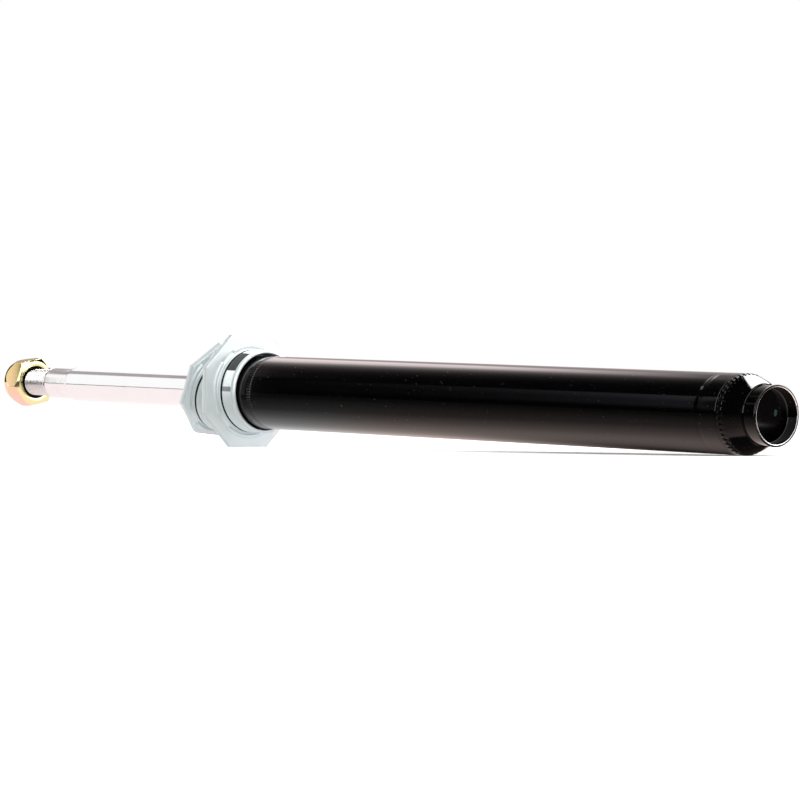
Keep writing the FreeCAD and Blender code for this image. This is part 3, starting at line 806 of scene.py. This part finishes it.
class DAMPER_OT_foot(bpy.types.Operator):
    """Make the notched cone, the spigot with the painted highlight on its rim and the inspection dab"""

    bl_idname = "damper.foot"
    bl_label = "Cone and spigot"

    def execute(self, context):
        tube = context.scene.damper_tube
        foot = context.scene.damper_foot
        paint = finish("gloss_black_enamel")
        self.make_cone(tube, foot, paint)
        self.make_spigot(foot, paint)
        self.make_dab(foot)
        return {"FINISHED"}

    def make_cone(self, tube, foot, paint):
        """The cone rises from the spigot to the notched band, and its neck sits in the tube."""
        wall = 3.0 * MM
        ease = 0.25 * MM
        outside = tube.radius - tube.wall
        inside = outside - wall
        band_end = tube.start
        neck_end = band_end + 6.0 * MM
        lip_end = foot.cone_length + foot.lip
        notch_start = foot.cone_length - 3.0 * MM
        notch_end = band_end - 1.4 * MM
        guard = 0.4 * MM
        hollow = 9.0 * MM
        hollow_sag = 0.9 * MM
        notches = notched(foot.notch_count, foot.notch_depth, foot.notch_width, tube.radius, notch_start,
                          notch_end)

        def cone(x):
            way = x / foot.cone_length
            straight = foot.cone_root + (foot.cone_edge - foot.cone_root) * way
            return straight + 4 * foot.cone_bulge * way * (1 - way)

        def lip(x):
            way = (lip_end - x) / foot.lip
            return foot.cone_edge + (tube.radius - foot.cone_edge) * math.sqrt(max(0.0, 1 - way * way))

        hoops = [(0, 0), (0, foot.cone_root)]
        hoops += [(x, cone(x)) for x in spread(0, notch_start - guard, steps=9)[1:]]
        hoops += [(x, cone(x), notches) for x in spread(notch_start, foot.cone_length, steps=14)]
        for degrees in spread(10, 90, steps=8):
            x = lip_end - foot.lip * math.cos(math.radians(degrees))
            hoops.append((x, lip(x), notches))
        hoops += [(x, tube.radius, notches) for x in spread(lip_end, band_end - ease, steps=24)[1:]]
        hoops += [(band_end, tube.radius - ease), (band_end, outside), (neck_end, outside),
                  (neck_end, inside)]
        hoops += arc_through((wall + hollow, inside), (wall + hollow / 2, inside - hollow_sag),
                             (wall, foot.cone_root - wall), steps=8)
        hoops.append((wall, 0))
        piece = lathe("notched_cone", hoops, even_angles(foot.notch_count * NOTCH_STEPS), [paint])
        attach(piece, "damper_body")
        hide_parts("base_cup")

    def make_spigot(self, foot, paint):
        """A short hollow boss with a rounded rim whose inner crest carries a painted highlight of bright
        steel.
        """
        neck = foot.spigot_neck
        bead = (foot.spigot_radius - foot.recess_radius) / 2
        bead_r = foot.recess_radius + bead
        bead_x = foot.spigot_end + bead
        floor_x = foot.spigot_end + foot.recess_depth
        neck_end = bead_x + bead
        corner = 0.8 * MM
        root = 0.12 * MM
        swell_x, swell = bead_x + bead * 0.8, 0.08 * MM
        highlight_from, highlight_to = 8, 52
        hoops = [(0, 0), (0, neck + root), (-root, neck)]
        hoops += [(x, neck) for x in (-3 * root, neck_end + 2 * root, neck_end)]
        hoops.append((swell_x, neck + swell))
        hoops += arc(bead_x, bead_r, bead, start=60, end=270, steps=26)
        hoops += arc(floor_x - corner, foot.recess_radius - corner, corner, start=90, end=0, steps=5)
        hoops.append((floor_x, 0))

        # Painted highlight: this band of the rim's inner crest takes the bright steel finish.
        def on_highlight(x, radius):
            from_front = math.degrees(math.atan2(bead_r - radius, bead_x - x))
            on_bead = x < bead_x and radius > foot.recess_radius
            return 1 if on_bead and highlight_from < from_front < highlight_to else 0

        piece = lathe("locating_boss", hoops, even_angles(ROUND_STEPS), [paint, finish("rubbed_enamel_rim")],
                      finish_at=on_highlight)
        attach(piece, "damper_body")
        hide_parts("locating_spigot")

    def make_dab(self, foot):
        """A small uneven dab of paint on the floor of the spigot's hollow, thicker near its edge."""
        thickness = 0.12 * MM
        sunk = 0.02 * MM
        middle = 0.8
        crown = ((0.6, 0.97), (1.0, 0.88), (0.85, 0.5))
        floor_x = foot.spigot_end + foot.recess_depth
        place = Matrix.Translation((floor_x, -5.5 * MM, 1.3 * MM))

        def uneven(x, plain, turn):
            return plain * (1 + 0.28 * math.cos(2 * turn + 0.4) + 0.1 * math.sin(5 * turn))

        hoops = [(sunk, 0), (sunk, foot.dab_radius, uneven)]
        hoops += [(-thickness * height, foot.dab_radius * share, uneven) for height, share in crown]
        hoops.append((-thickness * middle, 0))
        piece = lathe("inspection_dab", hoops, even_angles(48), [finish("inspection_paint")], place=place)
        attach(piece, "damper_body")


class DAMPER_OT_rod(bpy.types.Operator):
    """Make the chromed rod with its tenon, seat and threaded stud"""

    bl_idname = "damper.rod"
    bl_label = "Chromed rod"

    def execute(self, context):
        rod = context.scene.damper_rod
        low, high = ROD_LOW.x, ROD_HIGH.x
        bevel = 1.0 * MM
        ease = 0.3 * MM
        seat_ease = 0.5 * MM
        groove_end = rod.clip_groove + rod.clip_width
        groove_r = rod.radius - rod.clip_depth
        relief = rod.stud_radius - 0.9 * MM
        relief_end = rod.stud_start + 1.6 * MM
        run_in, run_in_r = rod.stud_start + 2.2 * MM, rod.stud_radius - 0.35 * MM
        thread_start = rod.stud_start + 2.5 * MM
        tip = 0.2 * MM
        hoops = [(low, 0), (low, rod.tenon_radius - bevel), (low + bevel, rod.tenon_radius),
                 (rod.tenon_end, rod.tenon_radius), (rod.tenon_end, rod.radius - ease),
                 (rod.tenon_end + ease, rod.radius), (rod.clip_groove, rod.radius),
                 (rod.clip_groove, groove_r), (groove_end, groove_r), (groove_end, rod.radius),
                 (rod.seat_start - 2 * bevel, rod.radius), (rod.seat_start - bevel - ease, rod.radius)]
        hoops += arc_through((rod.seat_start - bevel, rod.radius - 0.06 * MM),
                             (rod.seat_start - bevel * 0.45, rod.radius - 0.4 * MM),
                             (rod.seat_start, rod.seat_radius), steps=6)
        hoops += [(rod.seat_start + ease, rod.seat_radius), (rod.stud_start - bevel, rod.seat_radius),
                  (rod.stud_start - seat_ease, rod.seat_radius),
                  (rod.stud_start, rod.seat_radius - seat_ease), (rod.stud_start, relief),
                  (relief_end, relief), (run_in, run_in_r)]
        hoops += thread_hoops(thread_start, high - bevel, rod.stud_radius, rod.thread_depth, rod.thread_pitch)
        hoops += [(high - tip, rod.stud_radius - bevel), (high, rod.stud_radius - bevel - ease), (high, 0)]

        def zone(x, radius):
            if x < rod.tenon_end or rod.seat_start - bevel < x < rod.stud_start:
                return 1
            return 2 if x > rod.stud_start else 0

        piece = lathe("chromed_rod", hoops, even_angles(ROUND_STEPS),
                      [finish("hard_chrome"), finish("turned_steel"), finish("thread_steel")], finish_at=zone)
        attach(piece, "rod")
        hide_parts("piston_rod")
        return {"FINISHED"}


class DAMPER_OT_rod_nut(bpy.types.Operator):
    """Make the yellow hexagon nut on the stud"""

    bl_idname = "damper.rod_nut"
    bl_label = "Rod nut"

    def execute(self, context):
        nut = context.scene.damper_rod_nut
        start, end = ROD_NUT_LOW.x, ROD_NUT_HIGH.x
        side, angles = flat_sided(6, nut.flats, nut.turn, corner=0.5 * MM)
        reach = nut.flats / math.sqrt(3)
        rise = reach - nut.face_radius
        slope = math.tan(math.radians(60))
        chamfer = rise / slope + 0.1 * MM
        sink = (nut.sink_radius - nut.bore_radius) * 0.45

        def hexagon(x, plain, turn):
            near = nut.face_radius + (x - start) * slope
            far = nut.face_radius + (end - x) * rise / nut.crown
            return min(side(turn), near, far)

        hoops = [(start + sink, nut.bore_radius), (start, nut.sink_radius), (start, nut.face_radius)]
        hoops += [(x, reach, hexagon) for x in spread(start, start + chamfer, steps=26)[1:]]
        hoops += [(x, reach, hexagon) for x in spread(end - nut.crown, end, steps=40)[:-1]]
        hoops += [(end, nut.face_radius), (end, nut.sink_radius), (end - sink, nut.bore_radius)]
        piece = lathe("hexagon_nut", hoops, angles, [finish("yellow_chromate")], closed=True)
        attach(piece, "rod")
        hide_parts("rod_nut")
        return {"FINISHED"}


class DAMPER_OT_gland_nuts(bpy.types.Operator):
    """Make the two eight-sided gland nuts with their threaded collars and raised bars"""

    bl_idname = "damper.gland_nuts"
    bl_label = "Gland nuts"

    def execute(self, context):
        nuts = context.scene.damper_gland_nuts
        middle = (LOWER_NUT_LOW + LOWER_NUT_HIGH) / 2
        place = Matrix.Translation((LOWER_NUT_HIGH.x - nuts.plate, middle.y, middle.z))
        self.make_nut(nuts, "lower", "larger_gland_nut", 0, finish("patched_zinc"), place)
        place = Matrix.Translation(nuts.upper_place) @ Matrix.Rotation(-nuts.upper_tilt, 4, "Y")
        pocket = nuts.plate - nuts.upper_hole_length
        self.make_nut(nuts, "upper", "smaller_gland_nut", pocket, finish("blue_bright_zinc"), place)
        return {"FINISHED"}

    def make_nut(self, nuts, kind, name, pocket, plating, place):
        """Plate, fillet, threaded collar and hollow as one closed outline; pocket is the hollow's floor."""
        node = kind + "_gland_nut"
        flats, turn, collar, collar_length, plain, bore, hole = (
            getattr(nuts, kind + "_" + size)
            for size in ("flats", "turn", "collar", "collar_length", "plain", "bore", "hole"))
        side, angles = flat_sided(8, flats, turn, nuts.plate_corner)
        edge = nuts.plate_edge
        lead_in = 0.4 * MM
        hole_ease = 0.3 * MM
        rim_ease = 0.12 * MM
        step = 0.1 * MM
        groove = -nuts.fillet - step
        groove_end = groove - nuts.undercut_width
        groove_r = collar - nuts.undercut
        thread_start, thread_end = groove_end - 0.2 * MM, plain - collar_length
        bends = [math.radians(degrees) for degrees in spread(0, 90, steps=5)]

        def plate_side(inset):
            return lambda x, plain, direction: side(direction) - inset

        # Painted shade: the undercut's groove takes the dark finish.
        def in_undercut_shade(x, radius):
            return 1 if groove_end < x < groove and radius > collar - 2 * nuts.undercut else 0

        hoops = [(nuts.plate, hole + hole_ease)]
        hoops += [(nuts.plate - edge * (1 - math.cos(bend)), flats, plate_side(edge * (1 - math.sin(bend))))
                  for bend in bends]
        hoops += [(edge * (1 - math.sin(bend)), flats, plate_side(edge * (1 - math.cos(bend))))
                  for bend in bends]
        hoops += arc(-nuts.fillet, collar + nuts.fillet, nuts.fillet, start=0, end=-90, steps=10)
        hoops += [(groove, collar), (groove - step, groove_r), (groove_end + step, groove_r),
                  (groove_end, collar)]
        hoops += thread_hoops(thread_start, thread_end, collar, nuts.thread_depth, nuts.thread_pitch)
        hoops += [(thread_end - 0.15 * MM, collar), (nuts.rim - collar_length, collar),
                  (rim_ease - collar_length, collar - nuts.rim + 0.02 * MM),
                  (-collar_length, collar - nuts.rim - rim_ease), (-collar_length, bore + lead_in),
                  (lead_in - collar_length, bore), (pocket, bore), (pocket, hole),
                  (nuts.plate - hole_ease, hole)]
        piece = lathe(name, hoops, angles, [plating, finish("undercut_grime")], closed=True, place=place,
                      finish_at=in_undercut_shade)
        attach(piece, node)
        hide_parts(node)
        for number, middle in enumerate(even_angles(nuts.bar_count, nuts.bar_turn), 1):
            self.make_bar(nuts, "%s_bar_%d" % (name, number), node, collar + nuts.bar_gap, middle, place)

    def make_bar(self, nuts, name, node, bend, middle, place):
        """A raised bead with round ends, bent round the collar and half sunk in the plate's face."""
        half = nuts.bar_width / 2
        reach = bend * nuts.bar_span / 2
        straight = reach - half
        hoops = [(-reach, 0)] + arc(-straight, 0, half, start=165, end=90, steps=5)
        hoops += [(x, half) for x in spread(-straight, straight, steps=32)[1:-1]]
        hoops += arc(straight, 0, half, start=90, end=15, steps=5) + [(reach, 0)]
        piece = lathe(name, hoops, even_angles(24), [finish("blue_bright_zinc")])
        for vertex in piece.data.vertices:
            along, side, up = vertex.co
            turn = middle + along / bend
            away = bend + side
            height = up * nuts.bar_height / half
            vertex.co = place @ Vector((height, away * math.sin(turn), away * math.cos(turn)))
        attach(piece, node)


class DAMPER_OT_check_springs(bpy.types.Operator):
    """Make the two coned valve springs as copies of their solids"""

    bl_idname = "damper.check_springs"
    bl_label = "Valve springs"

    def execute(self, context):
        behaviour = frame["record"]["behaviour"]
        home = {node: body for body, nodes in behaviour["bodies"].items() for node in nodes}
        for joint in behaviour["joints"]:
            for spring in joint.get("deforming_nodes") or ():
                node = spring["node"]
                self.make_spring(context, node, home[node], joint, spring["fixed_end_x_m"])
        return {"FINISHED"}

    def make_spring(self, context, node, body, joint, fixed_end):
        """A spring with its solid's shape, attached to its body."""
        low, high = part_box(node)
        lift = joint["range_m"][1]
        solid = frame["nodes"][node]
        piece = bpy.data.objects.new(node.replace("spring", "coned_washer"), solid.data.copy())
        piece.matrix_world = solid.matrix_world.copy()
        context.scene.collection.objects.link(piece)
        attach(piece, body)
        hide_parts(node)
        1 - lift / (high.x - low.x)
        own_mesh(piece)


class DAMPER_OT_stage(bpy.types.Operator):
    """Set up the camera, the floor and the lights"""

    bl_idname = "damper.stage"
    bl_label = "Stage"

    def execute(self, context):
        stage = context.scene.damper_stage
        self.set_camera(context, stage)
        self.make_floor(context, stage)
        self.make_world(context)
        self.make_high_light(context)
        self.make_rod_card(context)
        self.make_front_panel(context)
        self.make_room_card(context)
        self.make_small_cards(context)
        context.scene.view_settings.view_transform = "Standard"
        return {"FINISHED"}

    def set_camera(self, context, stage):
        """The photograph's viewing angle."""
        aim = Vector(stage.camera_aim).normalized()
        right = aim.cross(Vector(stage.camera_up)).normalized()
        up = right.cross(aim)
        data = bpy.data.cameras.new("studio_camera")
        data.sensor_width = 36.0
        data.lens = stage.camera_lens
        data.clip_start = 0.05
        data.clip_end = 50.0
        camera = bpy.data.objects.new("studio_camera", data)
        axes = Matrix((right, up, -aim)).transposed().to_4x4()
        camera.matrix_world = Matrix.Translation(stage.camera_place) @ axes
        context.scene.collection.objects.link(camera)
        context.scene.camera = camera

    def make_floor(self, context, stage):
        """A pale floor on which the damper lies, on its foot and the larger gland nut."""
        foot = Vector((11.2 * MM, 0, TUBE_LOW.z))
        nut = Vector((LOWER_NUT_HIGH.x - 2.9 * MM, 0, LOWER_NUT_LOW.z))
        along = (nut - foot).normalized()
        across = Vector((0, 1, 0))
        half = stage.floor_size / 2
        corners = [foot + along * a * half + across * b * half
                   for a, b in ((-1, -1), (1, -1), (1, 1), (-1, 1))]
        material, shader = new_material("pale_floor")
        mirrored = shader.rays("Glossy")
        paper = shader.node("ShaderNodeBsdfDiffuse", None, {"Color": opaque(stage.floor_colour)})
        lift = shader.node("ShaderNodeEmission", None, {"Color": shader.in_view() * self.floor_lift(shader)})
        lit = shader.node("ShaderNodeAddShader", None, {0: paper, 1: lift})
        mirror = shader.node("ShaderNodeEmission", None,
                             {"Color": self.mirrored_floor(shader), "Strength": 1.25})
        body = shader.node("ShaderNodeMixShader", None, {0: mirrored, 1: lit, 2: mirror})
        shader.node("ShaderNodeOutputMaterial", None, {"Surface": body})
        self.add_sheet(context, "studio_floor", corners, SHEET, material)

    def floor_lift(self, shader):
        """Light that the floor adds to the view: full before the foot, least past it, more by the nuts."""
        least, full, by_nuts = 0.16, 0.9, 0.7
        along = shader.part(shader.place(), "X")
        past_foot = shader.window(along, -0.012, 0.012)
        past_shadow = shader.window(along, 0.12, 0.29)
        return least + (past_shadow * by_nuts + full - past_foot * full)

    def mirrored_floor(self, shader):
        """The floor as gloss mirrors it: bright under and behind the damper, dark in front of the tube, with
        painted contact shadow near the foot.
        """
        front_depth = 0.2
        front_levels = ((0.0, 1.0), (0.07, 0.8), (0.12, 0.5), (0.19, 0.22), (0.33, 0.13), (0.5, 0.09),
                        (1.0, 0.04))
        contact_dark = 0.96
        warm_green, warm_blue = 0.82, 0.76
        rod_slope = 1.26
        place = shader.place()
        along = shader.part(place, "X")
        aside = shader.part(place, "Y")
        reach = shader.node("ShaderNodeLightPath", output="Ray Length")
        front = shader.levels(aside * (1 / front_depth), front_levels)
        # Painted contact shadow: darker under the tube near the foot, under the cone where the mirrored ray is
        # short, and beside the foot.
        under_tube = (1 - shader.window(aside, 0.003, 0.018)) * (1 - shader.window(along, 0.06, 0.3))
        under_tube = under_tube * shader.window(along, 0.012, 0.02)
        under_cone = (1 - shader.window(along, 0.01, 0.018)) * (1 - shader.window(reach, 0.01, 0.0125))
        beside_foot = shader.window(aside - along, -0.2, -0.1) * (1 - shader.window(aside, -0.06, -0.03))
        dark = shader.most(under_tube, shader.most(under_cone, beside_foot))
        level = front * (1 - dark * contact_dark)
        neutral = shader.window(along, 0.28, 0.4)
        warm = shader.node("ShaderNodeCombineColor", None,
                           {0: level, 1: level * (warm_green + neutral * (1 - warm_green)),
                            2: level * (warm_blue + neutral * (1 - warm_blue))})
        rod_side = shader.window(along - aside * rod_slope, 0.425, 0.455)
        return shader.blend(rod_side, warm, (0.88, 0.79, 0.785, 1.0))

    def make_world(self, context):
        """White to the camera; to gloss a dark studio with a glowing back and a bright box overhead."""
        dark_room = 0.004
        tube_tint, rod_tint = (1.0, 0.86, 0.86, 1.0), (1.0, 0.9, 0.93, 1.0)
        world = bpy.data.worlds.new("studio")
        world.use_nodes = True
        context.scene.world = world
        shader = Shader(world.node_tree)
        seen = shader.in_view()
        mirrored = shader.rays("Glossy")
        way = shader.node("ShaderNodeTexCoord", output="Generated")
        x, y, z = (shader.part(way, letter) for letter in "XYZ")
        ahead = shader.window(x, 0.56, 0.68)
        by_rod = shader.window(x, 0.7835, 0.7865)
        back = self.glowing_back(shader, x, y, by_rod)
        overhead = self.overhead_box(shader, x, y, z) * (1 - ahead)
        far_end = shader.window(x, 0.85, 0.93) * shader.window(y, 0.05, 0.15) * 4.0
        studio = dark_room + ahead * back + overhead + far_end
        low_front = shader.window(y - x, 0.5, 1.1) * (1 - shader.window(z, 0.3, 0.5))
        ambient = 0.5 + low_front * 1.2
        strength = seen + (1 - seen) * (mirrored * studio + (1 - mirrored) * ambient)
        tint = shader.blend(mirrored * ahead, WHITE, shader.blend(by_rod, tube_tint, rod_tint))
        glow = shader.node("ShaderNodeBackground", None, {"Color": tint, "Strength": strength})
        shader.node("ShaderNodeOutputWorld", None, {"Surface": glow})

    def glowing_back(self, shader, x, y, by_rod):
        """What gloss mirrors from far ahead: a glow that climbs to the right, and an even one by the rod."""
        tube_level, tube_fall = 0.105, 0.00017
        cone_level, cone_fall, cone_most = 0.37, 0.00015, 2.0
        right_level, rod_level = 0.68, 0.46
        gain = shader.least(shader.most((x - 0.695) * 18.0, 0.0), 1.5)
        peak = shader.least(shader.most((x - 0.707) * 66.0, 0.4), 2.85)
        climb = shader.least(tube_level * tube_fall ** y * gain, peak)
        on_tube = climb + (right_level - climb) * shader.window(0.0 - y, 0.47, 0.58)
        on_cone = shader.least(cone_level * cone_fall ** y, cone_most)
        on_tube = on_cone + shader.window(x, 0.685, 0.7) * (on_tube - on_cone)
        on_rod = rod_level * (1 - shader.window(y, 0.32, 0.42)) * (1 - shader.window(x, 0.88, 0.9))
        return on_tube + by_rod * (on_rod - on_tube)

    def overhead_box(self, shader, x, y, z):
        """A bright box above and behind, brightest straight up."""
        low_level, high_gain = 7.0, 9.0
        behind = (1 - shader.window(x + y, -0.02, 0.03)) * shader.window(x, -0.15, -0.05)
        box = behind * shader.window(z, 0.3, 0.4)
        return box * (low_level + high_gain * shader.window(z, 0.65, 0.98))

    def make_high_light(self, context):
        """A broad high light for the floor, which gloss doesn't mirror."""
        data = bpy.data.lights.new("high_light", "SUN")
        data.energy = 1.9
        data.angle = math.radians(50)
        lamp = bpy.data.objects.new("high_light", data)
        lamp.rotation_euler = Vector((0.05, 0.3, -1.0)).to_track_quat("-Z", "Y").to_euler()
        lamp.visible_glossy = False
        context.scene.collection.objects.link(lamp)

    def make_rod_card(self, context):
        """Fans of white past the rod's end: they fill the rod, the seat and the plates' left sides."""
        card_x = 0.75
        # Inner and outer radius, first and last angle, steps, and the inner radius's growth along the fan.
        fans = (
            (0.02, 0.096, 1.5, 66, 16, 0.0),
            (0.096, 0.107, 42, 86, 16, 0.0),
            (0.107, 0.1275, 1.5, 70, 16, 0.0),
            (0.1275, 0.294, 0.9, 72, 16, 0.0),
            (0.262, 0.294, -12, 0.9, 6, 0.0),
            (0.1227, 0.294, 101, 175, 16, -0.0051),
        )
        corners, faces = [], []
        for fan in fans:
            self.add_fan(corners, faces, card_x, *fan)
        self.add_card(context, "rod_card", corners, faces, self.glow_material("white_card", 1.1))

    def make_front_panel(self, context):
        """A dim panel in front: it draws the soft band along the lower half of the tube."""
        low, high = (0.965, 0.1), (0.66, 0.71)
        near, far = 0.935, 1.5
        corners = [(near, *low), (far, *low), (far, *high), (near, *high)]
        near_level, level_x, fall = 0.34, 0.97, 0.0075
        low_share, high_share = 0.42, 0.58
        red, green, blue = 0.95, 0.96, 1.08
        material, shader = new_material("dim_panel")
        place = shader.place()
        z = shader.part(place, "Z")
        fade = near_level * fall ** (shader.part(place, "X") - level_x)
        level = fade * (low_share * shader.window(z, 0.1, 0.3) + high_share * shader.window(z, 0.42, 0.68))
        tint = shader.node("ShaderNodeCombineColor", None,
                           {0: level * red, 1: level * green, 2: level * blue})
        shader.glow({"Color": tint, "Strength": 1.0})
        self.add_card(context, "front_panel", corners, SHEET, material)

    def make_room_card(self, context):
        """A white wall to the right that the nuts mirror and the foot does not."""
        corners, faces = [], []
        self.add_fan(corners, faces, -0.3, inner=0.36, outer=1.2, start=5, end=183, steps=40)
        self.add_card(context, "room_card", corners, faces, self.glow_material("room_card", 2.6))

    def make_small_cards(self, context):
        """One card whitens the smaller nut's upper left side, and one picks out the foot's notches."""
        cards = {
            "facet_card": (((1.2, 0.25, 1.2), (1.2, 0.55, 1.2), (1.2, 0.55, 1.5), (1.2, 0.25, 1.5)), 1.4),
            "notch_card": (((-0.5, 1.0, 0.1), (-0.9, 0.7, 0.1), (-0.85, 0.66, 0.5), (-0.47, 0.94, 0.5)), 4.0),
        }
        for name, (corners, level) in cards.items():
            self.add_card(context, name, corners, SHEET, self.glow_material(name, level))

    def glow_material(self, name, level):
        """Plain white light of one level."""
        material, shader = new_material(name)
        shader.glow({"Color": WHITE, "Strength": level})
        return material

    def add_fan(self, corners, faces, x, inner, outer, start, end, steps, growth=0.0):
        """Adds a ring's sector square to the axis; angles in degrees from +Y towards +Z."""
        for degrees in spread(start, end, steps):
            turn = math.radians(degrees)
            share = (degrees - start) / (end - start)
            for radius in (inner + growth * share, outer):
                corners.append((x, radius * math.cos(turn), radius * math.sin(turn)))
        first = len(corners) - 2 * (steps + 1)
        for step in range(steps):
            corner = first + 2 * step
            faces.append((corner, corner + 1, corner + 3, corner + 2))

    def add_card(self, context, name, corners, faces, material):
        """A glowing sheet that only mirrored rays meet."""
        card = self.add_sheet(context, name, corners, faces, material)
        card.visible_camera = False
        card.visible_diffuse = False
        card.visible_transmission = False
        card.visible_shadow = False

    def add_sheet(self, context, name, corners, faces, material):
        """A flat piece of the stage."""
        mesh = bpy.data.meshes.new(name)
        mesh.from_pydata(corners, [], faces)
        mesh.materials.append(material)
        sheet = bpy.data.objects.new(name, mesh)
        context.scene.collection.objects.link(sheet)
        return sheet


class DAMPER_PT_pieces(bpy.types.Panel):
    """The damper's pieces, in the order in which they are made"""

    bl_label = "Strut insert damper"
    bl_idname = "DAMPER_PT_pieces"
    bl_space_type = "VIEW_3D"
    bl_region_type = "UI"
    bl_category = "Damper"

    def draw(self, context):
        for operator in OPERATORS:
            self.layout.operator(operator.bl_idname)
        for name in SETTINGS:
            group = getattr(context.scene, name)
            box = self.layout.box()
            for item in group.bl_rna.properties:
                if item.identifier not in ("rna_type", "name"):
                    box.prop(group, item.identifier)


SETTINGS = {
    "damper_tube": DamperTube,
    "damper_foot": DamperFoot,
    "damper_rod": DamperRod,
    "damper_rod_nut": DamperRodNut,
    "damper_gland_nuts": DamperGlandNuts,
    "damper_colours": DamperColours,
    "damper_stage": DamperStage,
}
OPERATORS = (DAMPER_OT_finishes, DAMPER_OT_tube, DAMPER_OT_foot, DAMPER_OT_rod, DAMPER_OT_rod_nut,
             DAMPER_OT_gland_nuts, DAMPER_OT_check_springs, DAMPER_OT_stage)


def register():
    for group in SETTINGS.values():
        bpy.utils.register_class(group)
    for operator in OPERATORS:
        bpy.utils.register_class(operator)
    bpy.utils.register_class(DAMPER_PT_pieces)
    for name, group in SETTINGS.items():
        setattr(bpy.types.Scene, name, PointerProperty(type=group))


def unregister():
    for name in SETTINGS:
        delattr(bpy.types.Scene, name)
    bpy.utils.unregister_class(DAMPER_PT_pieces)
    for operator in OPERATORS:
        bpy.utils.unregister_class(operator)
    for group in SETTINGS.values():
        bpy.utils.unregister_class(group)


def main():
    register()
    bpy.ops.damper.finishes()
    bpy.ops.damper.tube()
    bpy.ops.damper.foot()
    bpy.ops.damper.rod()
    bpy.ops.damper.rod_nut()
    bpy.ops.damper.gland_nuts()
    bpy.ops.damper.check_springs()
    bpy.ops.damper.stage()


if __name__ == "__main__":
    main()
